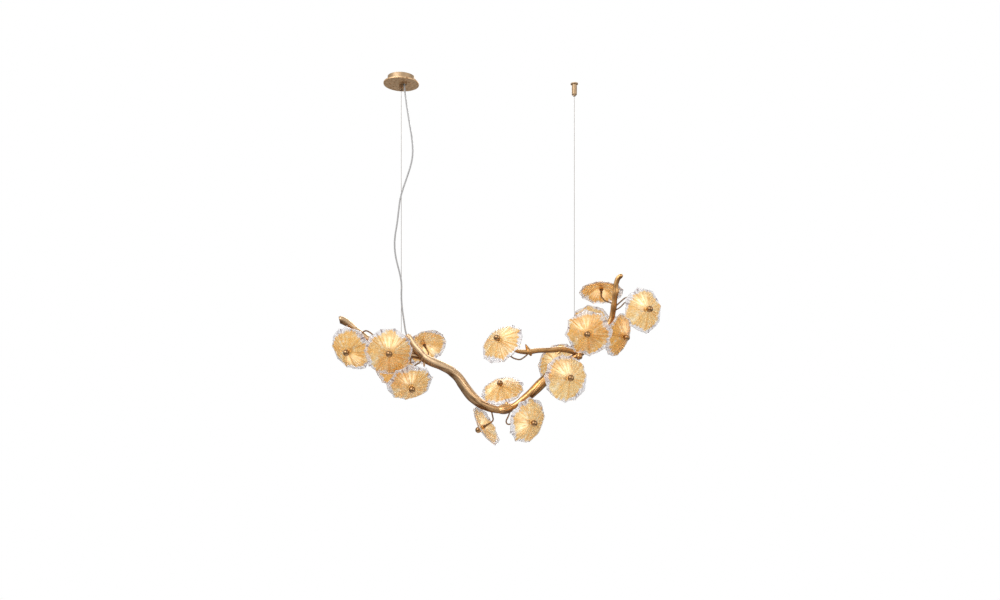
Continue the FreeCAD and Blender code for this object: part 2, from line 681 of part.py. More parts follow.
def ceiling_nodes():
    return {
        "ceiling_bracket": ceiling_bracket(),
        "canopy_screws": canopy_screws(),
        "canopy_band": canopy_band(),
        "canopy_plate": canopy_plate(),
        "terminal_block": terminal_block(),
        "cord_gland": cord_gland(),
        "left_gripper": left_gripper(),
        "gripper_nut": gripper_nut(),
        "anchor_flange": anchor_flange(),
        "anchor_body": anchor_body(),
        "left_plunger": plunger(),
        "right_plunger": hung_at(plunger(), RIGHT_HANG),
        "swivel_liners": Part.makeCompound([hung_at(swivel_liner(), Vector(0, 0, 0)),
                                            hung_at(swivel_liner(), RIGHT_HANG)]),
        "left_wire": wire(),
        "right_wire": hung_at(wire(), RIGHT_HANG),
        "left_fork": hung_at(fork(), UP * LOW_PIVOT_Z),
        "right_fork": hung_at(fork(), RIGHT_HANG + UP * LOW_PIVOT_Z),
        "left_fork_pin": hung_at(fork_pin(), UP * LOW_PIVOT_Z),
        "right_fork_pin": hung_at(fork_pin(), RIGHT_HANG + UP * LOW_PIVOT_Z),
        "power_cord": power_cord(),
    }


def main():
    os.makedirs("parts", exist_ok=True)
    nodes = {}
    nodes.update(ceiling_nodes())
    nodes.update(branch_nodes())
    nodes.update(leaf_nodes())
    for name, shape in nodes.items():
        if not shape.isValid():
            print("not valid:", name)
        shape.exportStep("parts/" + name + ".step")
    print(len(nodes), "nodes")


main()
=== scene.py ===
import json
import math

import bmesh
import bpy
from bpy.props import FloatProperty, FloatVectorProperty, IntProperty, PointerProperty
from mathutils import Matrix, Vector, kdtree, noise


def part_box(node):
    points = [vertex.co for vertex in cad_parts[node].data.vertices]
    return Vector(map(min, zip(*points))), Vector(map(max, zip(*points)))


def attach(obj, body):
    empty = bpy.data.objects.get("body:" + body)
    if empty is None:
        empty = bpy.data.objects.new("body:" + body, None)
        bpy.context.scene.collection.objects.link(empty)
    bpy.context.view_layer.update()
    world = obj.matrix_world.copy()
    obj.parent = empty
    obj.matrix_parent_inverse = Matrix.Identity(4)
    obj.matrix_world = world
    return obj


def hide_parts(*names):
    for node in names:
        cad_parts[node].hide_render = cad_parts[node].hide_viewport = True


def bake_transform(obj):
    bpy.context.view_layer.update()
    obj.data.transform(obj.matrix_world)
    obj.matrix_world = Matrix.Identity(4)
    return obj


bl_info = {
    "name": "Branch Chandelier",
    "version": (1, 0, 0),
    "blender": (4, 5, 0),
    "location": "View3D > Sidebar > Chandelier",
    "description": "Cast gold branch with round pressed-glass leaves, hung on thin wires",
    "category": "Add Mesh",
}

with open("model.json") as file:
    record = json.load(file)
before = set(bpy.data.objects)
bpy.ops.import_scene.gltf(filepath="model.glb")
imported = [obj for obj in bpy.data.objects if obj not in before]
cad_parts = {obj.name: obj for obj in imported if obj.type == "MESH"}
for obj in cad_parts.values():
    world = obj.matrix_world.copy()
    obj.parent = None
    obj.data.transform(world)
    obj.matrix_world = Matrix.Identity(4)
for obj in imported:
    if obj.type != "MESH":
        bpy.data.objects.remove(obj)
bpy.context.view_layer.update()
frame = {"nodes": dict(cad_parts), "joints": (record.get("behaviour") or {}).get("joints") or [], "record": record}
NODES = frame["nodes"]
JOINTS = {joint["name"]: joint for joint in frame["joints"]}
LEAF_COUNT = sum(1 for name in NODES if name.startswith("glass_leaf_"))
TAU = 2 * math.pi
MM = 0.001

# ---- routes, in millimetres as the maker would set them out -----------------
CORD_ROUTE = [
    (12, -14, -16), (12.4, -14.2, -38), (16.5, -15, -74), (23.5, -16, -122),
    (31.5, -16.2, -172), (38.5, -15.4, -214), (41.5, -14, -256), (37.5, -13, -290),
    (25.5, -12.2, -330), (8.5, -12, -378), (-3, -12.4, -418), (-7.5, -13.2, -460),
    (-12.5, -14, -502), (-18.5, -14, -535), (-21.5, -13.2, -568),
    (-19, -12.2, -604), (-11, -11.6, -640), (-2.5, -11.2, -672), (3, -10.4, -704),
    (1, -9, -742), (3, -7.2, -782), (8.5, -5, -820), (12, -3.2, -848),
    (15.6, -1.6, -870), (20.6, -0.2, -883),
]
CORD_DIAMETER = 5.5
WIRE_DIAMETER = 1.5
# radii of the flat round each leaf's hub and of the hole in it
HUB_FLAT = 12.5
HUB_BORE = 4.3

# centre points and radius along each cast limb, (x, y, z, radius)
LIMBS = {
    "main_bough": [
        (21, 0, -883, 14), (36, 4, -907, 14.4), (56, 10, -932, 14.8), (75, 16, -953, 15.2),
        (99, 22, -967, 15.4), (128, 27, -979, 15.4), (160, 31, -995, 16),
        (189, 34, -1020, 17), (211, 36, -1051, 17.6), (234, 38, -1082, 18.4),
        (260, 39, -1105, 16.6), (291, 40, -1123, 14.2), (325, 41, -1132, 12.8),
        (353, 42, -1132, 12.8),
    ],
    "right_bough": [
        (353, 42, -1132, 12.8), (388, 44, -1120, 13.2), (416, 47, -1100, 14.8),
        (447, 50, -1074, 16.6), (475, 53, -1047, 18), (503, 57, -1021, 18),
        (538, 60, -992, 16.6), (576, 62, -964, 15), (613, 64, -938, 14),
        (650, 68, -905, 13), (686, 70, -871, 12), (711, 68, -845, 11.4),
        (724, 66, -820, 10.6), (729, 62, -795, 9.8), (732, 57, -771, 10.8),
        (734, 53, -752, 9), (736, 50, -730, 10.4), (737, 48, -711, 8.8),
        (738, 46, -697, 8.8), (744, 43, -679, 8.6), (754, 40, -669, 8),
        (758, 39, -665, 4.6),
    ],
    "left_limb": [
        (-212, 3.6, -823.6, 10.8), (-209, 4.2, -823.4, 12.6), (-200, 5.1, -825.5, 13.3),
        (-188, 6.6, -832, 12.9), (-175, 9, -842, 12.6), (-160, 11, -856, 11.8),
        (-134, 13, -876, 11), (-100, 10, -898, 10.4), (-56, 4, -919, 9.8),
        (-4, 0, -934, 9.5), (32, 6, -944, 9.8), (75, 16, -953, 10),
    ],
    "upper_twig": [
        (383, 44, -927, 5.4), (401, 45, -931, 7.2), (422, 46, -933, 8.4),
        (440, 47, -932, 9.6), (466, 48, -928, 8.8), (492, 49, -927, 8.6), (516, 50, -926, 9),
        (544, 51, -923, 10), (570, 52, -927, 9.2), (592, 53, -933, 8.8), (613, 64, -938, 8.4),
    ],
    "bough_collar": [
        (331, 41.1, -1132.5, 13.4), (340, 41.6, -1132.6, 16), (353, 42.2, -1131, 17.4),
        (367, 43, -1127.5, 16.4), (377, 43.5, -1124.5, 14.2),
    ],
    "end_ball": [
        (611, 62, -940, 5), (609.6, 46.7, -944.3, 4.2), (609, 40.4, -946.1, 4.6),
        (608.7, 37.7, -946.8, 8.3), (608.4, 34.8, -947.7, 10.4), (608, 30, -949, 11.5),
        (607.6, 25.2, -950.3, 10.4), (607.3, 22.3, -951.2, 8.3), (607.1, 20.4, -951.7, 5.7),
        (607, 19.3, -952, 2.6),
    ],
}
# thorns on a limb: foot, point, foot radius, point radius
THORNS = {
    "main_bough": [((77, 12, -960), (77, 8, -984), 6.0, 2.4)],
    "right_bough": [((736, 50, -730), (749, 46, -724), 6.0, 2.0)],
    "left_limb": [((29, 6, -944), (30, 8, -974), 6.5, 2.6)],
    "upper_twig": [
        ((437, 47, -934), (424, 47, -906), 11.0, 2.0),
        ((440, 47, -934), (443, 47, -947), 7.5, 3.5),
        ((548, 50, -926), (533, 44, -943), 5.5, 1.6),
    ],
    "bough_collar": [((355, 42, -1130), (359, 42, -1106), 11.0, 3.0)],
}
# share of the bark's depth on a piece that is smoother than the rest
SMOOTHER = {"end_ball": 0.2}
# a limb of this radius or more takes the bark's full depth
FULL_BARK_RADIUS = 14.0
# distance between rings along a limb, and the points in a ring of it and of a thorn
SPINE_STEP = 2.0
LIMB_SIDES = 48
THORN_SIDES = 24
# fineness of the skin that closes over a limb and over the canopy plate
LIMB_VOXEL = 1.25
PLATE_VOXEL = 0.9


# ---- sizes and colours that a user may change -------------------------------
class ChandelierGlass(bpy.types.PropertyGroup):
    radius: FloatProperty(
        name="Leaf Radius", description="From the hub to the furthest point of the rim",
        default=83 * MM, min=0.03, subtype="DISTANCE", unit="LENGTH")
    depth: FloatProperty(
        name="Dish Depth", description="How far the rim lies behind the hub",
        default=25 * MM, min=0.0, subtype="DISTANCE", unit="LENGTH")
    thickness: FloatProperty(
        name="Glass Thickness", description="Thickness at the hub",
        default=4 * MM, min=0.001, subtype="DISTANCE", unit="LENGTH")
    veins: IntProperty(
        name="Veins", description="Raised veins from the hub to the rim", default=36, min=3)
    vein_height: FloatProperty(
        name="Vein Height", description="How far a vein stands up at the rim",
        default=1.5 * MM, min=0.0, subtype="DISTANCE", unit="LENGTH")
    rim_wave: FloatProperty(
        name="Rim Wave", description="How far the rim rises and falls",
        default=4.5 * MM, min=0.0, subtype="DISTANCE", unit="LENGTH")
    edge_cut: FloatProperty(
        name="Edge Cut", description="How deep the uneven edge cuts into the circle",
        default=6.5 * MM, min=0.0, subtype="DISTANCE", unit="LENGTH")
    crinkle: FloatProperty(
        name="Rim Crinkle", description="Height of the short flutes along the clear rim",
        default=1.1 * MM, min=0.0, subtype="DISTANCE", unit="LENGTH")
    pebble: FloatProperty(
        name="Pebble Height", description="Height of the pebbled face",
        default=0.11 * MM, min=0.0, subtype="DISTANCE", unit="LENGTH")
    amber: FloatVectorProperty(
        name="Amber", description="Deeper colour of the glass", subtype="COLOR", size=3,
        default=(0.92, 0.53, 0.14), min=0.0, max=1.0)
    honey: FloatVectorProperty(
        name="Honey", description="Lighter colour of the glass", subtype="COLOR", size=3,
        default=(0.98, 0.80, 0.46), min=0.0, max=1.0)
    clear: FloatVectorProperty(
        name="Clear Rim", description="Colour of the clear rim", subtype="COLOR", size=3,
        default=(0.95, 0.93, 0.94), min=0.0, max=1.0)
    glow: FloatVectorProperty(
        name="Glow", description="Colour of the lamp light in the glass", subtype="COLOR",
        size=3, default=(1.0, 0.92, 0.70), min=0.0, max=1.0)


class ChandelierMetal(bpy.types.PropertyGroup):
    bright: FloatVectorProperty(
        name="Bright Gold", description="Colour of the rubbed gold", subtype="COLOR", size=3,
        default=(0.84, 0.58, 0.34), min=0.0, max=1.0)
    # painted warm reflection: the cast gold turns to this colour towards the right end
    painted_warm_light: FloatVectorProperty(
        name="Warm Gold", description="Colour of the deeper lacquer towards the high end",
        subtype="COLOR", size=3, default=(0.80, 0.45, 0.17), min=0.0, max=1.0)
    # also the colour of the painted shade on the limbs' undersides and of the fittings' darkening towards the
    # bottom
    dark: FloatVectorProperty(
        name="Dark Gold", description="Colour in grooves and worn places", subtype="COLOR",
        size=3, default=(0.19, 0.083, 0.026), min=0.0, max=1.0)
    groove: FloatProperty(
        name="Groove Depth", description="Depth of the bark lines in the castings",
        default=1.1 * MM, min=0.0, subtype="DISTANCE", unit="LENGTH")
    dimple: FloatProperty(
        name="Hammer Dimple", description="Depth of the dimples in the canopy's face",
        default=0.9 * MM, min=0.0, subtype="DISTANCE", unit="LENGTH")


class ChandelierStage(bpy.types.PropertyGroup):
    lens: FloatProperty(
        name="Lens", description="Focal length of the camera", default=25.2, unit="CAMERA")
    distance: FloatProperty(
        name="Camera Distance", description="From the camera to the plane of the wires",
        default=2.38, subtype="DISTANCE", unit="LENGTH")
    floor: FloatProperty(
        name="Floor Height", description="Height of the floor under the ceiling",
        default=-2.4, subtype="DISTANCE", unit="LENGTH")
    level: FloatProperty(
        name="Light Level", description="Scales every lamp", default=1.0, min=0.0)


# ---- node trees written as formulas -----------------------------------------
def feed(tree, slot, value):
    """Link or set one input of a node."""
    if isinstance(value, Field):
        value = value.socket
    if isinstance(value, bpy.types.NodeSocket):
        tree.links.new(value, slot)
    else:
        slot.default_value = value


def drive(tree, node, inputs):
    """Link or set several inputs of a node."""
    for key, value in inputs.items():
        feed(tree, node.inputs[key], value)


def place(tree, kind, inputs, **settings):
    """New node with its settings and inputs."""
    node = tree.nodes.new(kind)
    for name, value in settings.items():
        setattr(node, name, value)
    drive(tree, node, inputs)
    return node


class Field:
    """A value in a node tree, which lets the tree read as a formula."""

    def __init__(self, tree, socket):
        self.tree = tree
        self.socket = socket

    def math(self, operation, *others):
        inputs = dict(enumerate((self, *others)))
        node = place(self.tree, "ShaderNodeMath", inputs, operation=operation)
        return Field(self.tree, node.outputs[0])

    def __add__(self, other):
        return self.math("ADD", other)

    def __sub__(self, other):
        return self.math("SUBTRACT", other)

    def __mul__(self, other):
        return self.math("MULTIPLY", other)

    def __truediv__(self, other):
        return self.math("DIVIDE", other)

    def __pow__(self, power):
        return self.math("POWER", power)

    def one_minus(self):
        return self * -1.0 + 1.0

    def ramp(self, low, high):
        """Smooth rise from 0 at low to 1 at high."""
        node = place(self.tree, "ShaderNodeMapRange",
                     {"Value": self, "From Min": low, "From Max": high},
                     interpolation_type="SMOOTHSTEP")
        return Field(self.tree, node.outputs[0])


def vector_of(tree, x, y, z):
    return place(tree, "ShaderNodeCombineXYZ", {"X": x, "Y": y, "Z": z}).outputs[0]


def parts_of(tree, vector):
    node = place(tree, "ShaderNodeSeparateXYZ", {0: vector})
    return [Field(tree, socket) for socket in node.outputs]


def noise_of(tree, vector, scale, detail=2.0, seed=0.0):
    """Noise from 0 to 1."""
    node = place(tree, "ShaderNodeTexNoise",
                 {"Vector": vector, "W": seed, "Scale": scale, "Detail": detail},
                 noise_dimensions="4D")
    return Field(tree, node.outputs[0])


def cells_of(tree, vector, scale):
    """Distance to the middle of the nearest cell, with soft borders."""
    node = place(tree, "ShaderNodeTexVoronoi", {"Vector": vector, "Scale": scale},
                 feature="SMOOTH_F1")
    return Field(tree, node.outputs["Distance"])


def object_place(tree):
    return tree.nodes.new("ShaderNodeTexCoord").outputs["Object"]


def attribute_of(tree, name, output="Fac"):
    """What the mesh holds at each of its points under this name."""
    node = place(tree, "ShaderNodeAttribute", {}, attribute_name=name)
    return Field(tree, node.outputs[output])


def mixed(tree, factor, first, second):
    """Colour between two colours."""
    node = place(tree, "ShaderNodeMix", {0: factor, 6: first, 7: second}, data_type="RGBA")
    return node.outputs[2]


def rgba(colour):
    return (*colour, 1.0)


def new_tree(kind, name, inputs, outputs):
    """New node group with named sockets: the tree, its inputs by name, its output node."""
    tree = bpy.data.node_groups.new(name, kind)
    for way, sockets in (("INPUT", inputs), ("OUTPUT", outputs)):
        for label, socket in sockets:
            tree.interface.new_socket(label, in_out=way, socket_type="NodeSocket" + socket)
    sources = tree.nodes.new("NodeGroupInput").outputs
    given = {socket.name: Field(tree, socket) for socket in sources}
    return tree, given, tree.nodes.new("NodeGroupOutput")


def geometry_tree(name, inputs):
    shape = [("Geometry", "Geometry")]
    return new_tree("GeometryNodeTree", name, shape + inputs, shape)


def finish_tree(tree, output, geometry, material):
    """Close a geometry tree with smooth, real geometry and its material."""
    shaded = place(tree, "GeometryNodeSetShadeSmooth", {"Geometry": geometry})
    real = place(tree, "GeometryNodeRealizeInstances", {"Geometry": shaded.outputs[0]})
    painted = place(tree, "GeometryNodeSetMaterial",
                    {"Geometry": real.outputs[0], "Material": material})
    feed(tree, output.inputs[0], painted.outputs[0])


# ---- mesh tools -------------------------------------------------------------
def new_object(name, data):
    made = bpy.data.objects.new(name, data)
    bpy.context.scene.collection.objects.link(made)
    return made


def evaluated(name, source):
    """Plain mesh object of what source shows with its modifiers, which then goes away."""
    graph = bpy.context.evaluated_depsgraph_get()
    mesh = bpy.data.meshes.new_from_object(source.evaluated_get(graph))
    made = new_object(name, mesh)
    bpy.data.objects.remove(source)
    mesh.name = name
    return made


def grown(name, tree, values, base=None):
    """Plain mesh that a geometry tree makes with these named inputs."""
    source = new_object(name + "_source", base or bpy.data.meshes.new(name + "_source"))
    modifier = source.modifiers.new("Tree", "NODES")
    modifier.node_group = tree
    for item in tree.interface.items_tree:
        if item.item_type == "SOCKET" and item.name in values:
            modifier[item.identifier] = values[item.name]
    source.update_tag()
    bpy.context.view_layer.update()
    return evaluated(name, source)


def remeshed(name, mesh, voxel):
    """One closed and softened skin over a mesh of overlapping shapes."""
    source = new_object(name + "_source", mesh)
    remesh = source.modifiers.new("Remesh", "REMESH")
    remesh.mode = "VOXEL"
    remesh.voxel_size = voxel * MM
    soften = source.modifiers.new("Soften", "SMOOTH")
    soften.factor = 0.5
    soften.iterations = 4
    bpy.context.view_layer.update()
    return evaluated(name, source)


def dressed(made, material):
    made.data.materials.clear()
    made.data.materials.append(material)
    return made


# ---- materials --------------------------------------------------------------
FINISH_OUTPUTS = [("Color", "Color"), ("Roughness", "Float"), ("Height", "Float")]
# tint, shade, roughness, grains per metre, height of the grain and metallic
MOULDED = {
    "zinc_steel": ((0.66, 0.66, 0.64), (0.46, 0.47, 0.48), 0.36, 300.0, 0.03 * MM, 1.0),
    "dark_plunger": ((0.50, 0.36, 0.24), (0.34, 0.23, 0.14), 0.35, 600.0, 0.03 * MM, 1.0),
    "wire_rope": ((0.36, 0.31, 0.27), (0.24, 0.20, 0.17), 0.42, 1500.0, 0.05 * MM, 1.0),
    "white_nylon": ((0.86, 0.85, 0.81), (0.78, 0.77, 0.72), 0.45, 800.0, 0.03 * MM, 0.0),
    "lead_sleeve": ((0.74, 0.74, 0.70), (0.62, 0.62, 0.58), 0.5, 900.0, 0.05 * MM, 0.0),
    "led_board_white": ((0.88, 0.86, 0.80), (0.80, 0.76, 0.66), 0.4, 600.0, 0.03 * MM, 0.0),
    "rubber": ((0.045, 0.038, 0.034), (0.03, 0.026, 0.024), 0.7, 900.0, 0.05 * MM, 0.0),
}
AGED_BRASS = (0.42, 0.24, 0.11)
BURNT_AMBER = (0.66, 0.30, 0.06)
# cream of the painted highlight patches on the glass
CREAM_PAINTED_HIGHLIGHT = (0.98, 0.90, 0.72)
# dark of the painted refraction streaks in the clear rim
RIM_PAINTED_REFRACTION = (0.36, 0.27, 0.28)
LAMP_EDGE = (1.0, 0.80, 0.50)
SHEATH_DARK = (0.38, 0.37, 0.37)
SHEATH_LIGHT = (0.50, 0.49, 0.49)
BLACK = (0.0, 0.0, 0.0)
WHITE = (1.0, 1.0, 1.0)
MATERIALS = {}


def new_material(name, **plain):
    """Material with one Principled shader and plain values on its sockets."""
    material = bpy.data.materials.new(name)
    material.use_nodes = True
    tree = material.node_tree
    tree.nodes.clear()
    shader = tree.nodes.new("ShaderNodeBsdfPrincipled")
    output = tree.nodes.new("ShaderNodeOutputMaterial")
    tree.links.new(shader.outputs[0], output.inputs["Surface"])
    for key, value in plain.items():
        shader.inputs[key.replace("_", " ")].default_value = value
    return material, tree, shader


def add_bump(tree, shader, height, distance, strength=1.0):
    bump = place(tree, "ShaderNodeBump",
                 {"Height": height, "Distance": distance, "Strength": strength})
    feed(tree, shader.inputs["Normal"], bump.outputs[0])


def patina_group():
    """Gold that is rubbed bright on high places and brown in grooves, with fine grain. The
    Groove input also carries painted shade on undersides and darkening towards the bottom.
    """
    inputs = [("Bright", "Color"), ("Dark", "Color"), ("Groove", "Float"),
              ("Patch Scale", "Float"), ("Grain Scale", "Float"), ("Patch Share", "Float"),
              ("Roughness", "Float")]
    tree, given, result = new_tree("ShaderNodeTree", "Rubbed Gold Patina", inputs,
                                   FINISH_OUTPUTS)
    where = object_place(tree)
    patches = noise_of(tree, where, given["Patch Scale"], 3.0).ramp(0.45, 0.68)
    grain = noise_of(tree, where, given["Grain Scale"], 5.0, 3.0)
    worn = patches * given["Patch Share"]
    deep = given["Groove"] + worn + (grain - 0.5) * 0.22
    clamped = deep.math("MINIMUM", 1.0).math("MAXIMUM", 0.0)
    colour = mixed(tree, clamped, given["Bright"], given["Dark"])
    rough = clamped * 0.22 + given["Roughness"] + (grain - 0.5) * 0.12
    drive(tree, result, {"Color": colour, "Roughness": rough,
                         "Height": grain + patches * 0.4})
    return tree


def moulded_group():
    """Faint mottling and grain of a moulded or sprayed surface."""
    inputs = [("Tint", "Color"), ("Shade", "Color"), ("Grain Scale", "Float"),
              ("Roughness", "Float")]
    tree, given, result = new_tree("ShaderNodeTree", "Moulded Grain", inputs, FINISH_OUTPUTS)
    where = object_place(tree)
    mottle = noise_of(tree, where, 55.0, 3.0).ramp(0.35, 0.7)
    grain = noise_of(tree, where, given["Grain Scale"], 4.0, 5.0)
    colour = mixed(tree, mottle * 0.7 + grain * 0.3, given["Tint"], given["Shade"])
    rough = (grain - 0.5) * 0.2 + given["Roughness"]
    drive(tree, result, {"Color": colour, "Roughness": rough, "Height": grain})
    return tree


def finish_with_group(tree, shader, group, values, bump_height):
    """Put a finish group into a material, and let it set the colour, gloss and bump."""
    node = place(tree, "ShaderNodeGroup", values, node_tree=group)
    drive(tree, shader, {"Base Color": node.outputs["Color"],
                         "Roughness": node.outputs["Roughness"]})
    add_bump(tree, shader, node.outputs["Height"], bump_height)


def gold_material(name, patina, bright, dark, roughness, patch_scale, grain_scale,
                  patch_share, bump_height, coat, groove=None, painted_warm_light=None):
    """Lacquered gold, darkened by "cast" for carved limbs, in their bark lines and with painted
    shade on their undersides, or by "hung" for fittings, which darken towards the bottom."""
    material, tree, shader = new_material(name, Metallic=1.0, IOR=1.45, Coat_Weight=coat,
                                          Coat_Roughness=0.28)
    values = {"Bright": rgba(bright), "Dark": rgba(dark), "Patch Scale": patch_scale,
              "Grain Scale": grain_scale, "Patch Share": patch_share, "Roughness": roughness,
              "Groove": 0.0}
    across, _, height = parts_of(tree, object_place(tree))
    if groove == "cast":
        # brown in the bark lines, with painted shade on the limbs' undersides, both read from the mesh
        values["Groove"] = attribute_of(tree, "groove_and_painted_shade")
        # painted warm reflection: the gold turns to a more orange colour towards the right end
        values["Bright"] = mixed(tree, across.ramp(0.12, 0.42), rgba(bright), rgba(painted_warm_light))
    if groove == "hung":
        # darker towards the bottom, from 0.2 m to 0.6 m below the ceiling
        values["Groove"] = height.ramp(-0.2, -0.6) * 0.5
    finish_with_group(tree, shader, patina, values, bump_height)
    return material


def moulded_material(name, mottling, tint, shade, roughness, grain_scale, bump_height,
                     metallic):
    material, tree, shader = new_material(name, Metallic=metallic)
    values = {"Tint": rgba(tint), "Shade": rgba(shade), "Grain Scale": grain_scale,
              "Roughness": roughness}
    finish_with_group(tree, shader, mottling, values, bump_height)
    return material


def glass_material(glass):
    """Pressed amber glass that runs out to a clear crinkled rim."""
    material, tree, shader = new_material(
        "amber_glass", IOR=1.5, Metallic=0.0, Transmission_Weight=0.6,
        Emission_Strength=0.5)
    where = attribute_of(tree, "leaf_place", "Vector")
    reach = attribute_of(tree, "leaf_reach")
    lit = attribute_of(tree, "lamp_light")
    tone = attribute_of(tree, "leaf_tone")
    x, y, z = parts_of(tree, where)
    out = (x * x + y * y).math("SQRT") + 1e-5
    cosine = x / out
    sine = y / out
    # fibres that run outwards, and the mottle between them
    fibre = vector_of(tree, cosine * 8.5, sine * 8.5, out * 24.0 + z * 24.0)
    fibres = noise_of(tree, fibre, 1.0, 2.0)
    mottle = noise_of(tree, where, 90.0, 2.0)
    patches = noise_of(tree, where, 48.0, 2.0, 6.0)
    pebbles = cells_of(tree, where, 260.0)
    shade = (fibres * 1.1 + mottle * 0.4 + patches * 0.6 + tone * 0.16 - 0.55).ramp(0.2, 0.8)
    body = mixed(tree, shade, rgba(glass.amber), rgba(glass.honey))
    brown = (fibres + tone * 0.04).ramp(0.40, 0.28) * 0.45
    body = mixed(tree, brown, body, rgba(BURNT_AMBER))
    # painted highlight: cream patches where the mottle and patches run high
    pale = (mottle * 0.6 + patches * 0.6).ramp(0.64, 0.76) * 0.7
    body = mixed(tree, pale, body, rgba(CREAM_PAINTED_HIGHLIGHT))
    # the clear rim, whose inner border wanders
    rays = vector_of(tree, cosine * 11.0, sine * 11.0, out * 24.0)
    # painted refraction: dark streaks across the clear rim
    painted_refraction_streak = noise_of(tree, rays, 1.0, 2.0, 4.0).ramp(0.55, 0.66) * 0.85
    rim_tint_and_painted_streaks = mixed(tree, painted_refraction_streak, rgba(glass.clear), rgba(RIM_PAINTED_REFRACTION))
    sway = noise_of(tree, vector_of(tree, cosine * 1.2, sine * 1.2, tone * 9.0), 1.0, 1.0)
    fingers = (mottle - 0.5) * 0.2 + (fibres - 0.5) * 0.3 + (sway - 0.5) * 0.55
    clear = (reach + fingers).ramp(0.82, 0.89)
    rough = clear * -0.10 + 0.28 + (mottle - 0.5) * 0.15
    # painted lamp glow: the lamp's light painted as emission along the fibres on the lamp's side, over a faint
    # painted glow of the whole amber body
    glow = lit * fibres.ramp(0.30, 0.62) * 0.8
    soft = mixed(tree, clear.one_minus() * 0.08, rgba(BLACK), body)
    painted_warm_light = mixed(tree, glow.math("MINIMUM", 1.0), soft, rgba(glass.glow))
    drive(tree, shader, {"Base Color": mixed(tree, clear, body, rim_tint_and_painted_streaks),
                         "Roughness": rough, "Emission Color": painted_warm_light})
    add_bump(tree, shader, pebbles * 0.3 + fibres, 0.8 * MM, 0.28)
    return material


def sheath_material():
    """Clear sheath over twisted tinned cores."""
    material, tree, shader = new_material(
        "clear_sheath", IOR=1.48, Metallic=0.0, Coat_Weight=0.35, Coat_Roughness=0.18)
    where = object_place(tree)
    x, _, z = parts_of(tree, where)
    turn = (z * 420.0 + x * 700.0).math("SINE") * 0.5 + 0.5
    fine = noise_of(tree, where, 900.0, 2.0)
    shade = (turn * 0.15 + fine * 0.85).ramp(0.1, 0.9)
    colour = mixed(tree, shade, rgba(SHEATH_DARK), rgba(SHEATH_LIGHT))
    drive(tree, shader, {"Base Color": colour, "Roughness": fine * 0.2 + 0.25})
    add_bump(tree, shader, turn, 0.05 * MM)
    return material


def lens_material(glow):
    """Frosted lens lit by the lamp behind it."""
    material, tree, shader = new_material(
        "led_lens", IOR=1.45, Metallic=0.0, Emission_Strength=2.0)
    frost = noise_of(tree, object_place(tree), 700.0, 3.0)
    tint = mixed(tree, frost, rgba(LAMP_EDGE), rgba(glow))
    drive(tree, shader, {"Base Color": tint, "Emission Color": tint,
                         "Roughness": frost * 0.2 + 0.35})
    add_bump(tree, shader, frost, 0.1 * MM)
    return material


def make_materials(glass, metal):
    patina = patina_group()
    mottling = moulded_group()
    bright = metal.bright
    dark = metal.dark
    satin = [c * 0.6 for c in bright]
    worn = [c * 2.0 for c in dark]
    # bright, dark, roughness, patches and grains per metre, share of patches, height of the
    # grain, coat, where it darkens, and the colour of its painted warm reflection
    golds = {
        "cast_gold": (bright, dark, 0.30, 22.0, 300.0, 0.28, 0.03 * MM, 0.4, "cast",
                      metal.painted_warm_light),
        "satin_gold": (satin, dark, 0.55, 60.0, 900.0, 0.25, 0.04 * MM, 0.25, "hung"),
        "polished_gold": (AGED_BRASS, dark, 0.26, 70.0, 1200.0, 0.30, 0.02 * MM, 0.15),
        "hammered_gold": (bright, worn, 0.5, 120.0, 1100.0, 0.6, 0.12 * MM, 0.1),
    }
    for name, values in golds.items():
        MATERIALS[name] = gold_material(name, patina, *values)
    for name, values in MOULDED.items():
        MATERIALS[name] = moulded_material(name, mottling, *values)
    MATERIALS["clear_cord"] = sheath_material()
    MATERIALS["led_lens"] = lens_material(glass.glow)
    MATERIALS["amber_glass"] = glass_material(glass)


def scene_materials():
    if not MATERIALS:
        scene = bpy.context.scene
        make_materials(scene.chandelier_glass, scene.chandelier_metal)
    return MATERIALS


# ---- glass leaves -----------------------------------------------------------
LEAF_RINGS = 106
LEAF_SPOKES = 301
LEAF_INPUTS = [
    ("Radius", "Float"), ("Depth", "Float"), ("Thickness", "Float"), ("Flat Radius", "Float"),
    ("Bore Radius", "Float"), ("Veins", "Int"), ("Vein Height", "Float"),
    ("Rim Wave", "Float"), ("Edge Cut", "Float"), ("Rim Crinkle", "Float"),
    ("Pebble Height", "Float"), ("Facets", "Int"), ("Seed", "Float"), ("Hub", "Vector"),
    ("Turn", "Rotation"), ("Lamp Side", "Vector"), ("Tone", "Float"),
    ("Glass", "Material"),
]

# which way the painted lamp glow lies on each leaf, in degrees from the leaf's right
LAMP_ANGLES = (280, 85, 240, 110, 90, 60, 190, 150, 190, 110, 45, 110, 300, 270, 90, 120)
# how pale each leaf's glass is: deeper amber below 0 and paler honey above it
LEAF_TONES = (-0.6, 0.0, -0.5, -0.4, -1.2, -0.1, -0.3, 0.1, 0.0, 0.4, 0.0, -0.5, 0.2, -1.2,
              -2.2, 0.1)


def leaf_outline(tree, given, sine, cosine, turn):
    """Radius of the uneven edge at each angle: chords between corners, with notches."""
    facets = given["Facets"]
    seed = given["Seed"]
    around = vector_of(tree, cosine * 1.3, sine * 1.3, 0.0)
    drift = noise_of(tree, around, 1.0, 1.0, seed)
    fine = vector_of(tree, cosine * 4.5, sine * 4.5, 0.0)
    notch = noise_of(tree, fine, 1.0, 2.0, seed)
    phase = (turn + drift * 1.2) * facets / TAU
    share = phase.math("FRACT") - 0.5
    half_turn = place(tree, "ShaderNodeMath", {0: math.pi, 1: facets}, operation="DIVIDE")
    half = Field(tree, half_turn.outputs[0])
    chord = half.math("COSINE") / (share * 2.0 * half).math("COSINE")
    cut = given["Edge Cut"] * (notch.ramp(0.35, 0.72) * 0.3 + drift * 0.5)
    return given["Radius"] * (chord * 1.3 - 0.3) - cut, share, drift


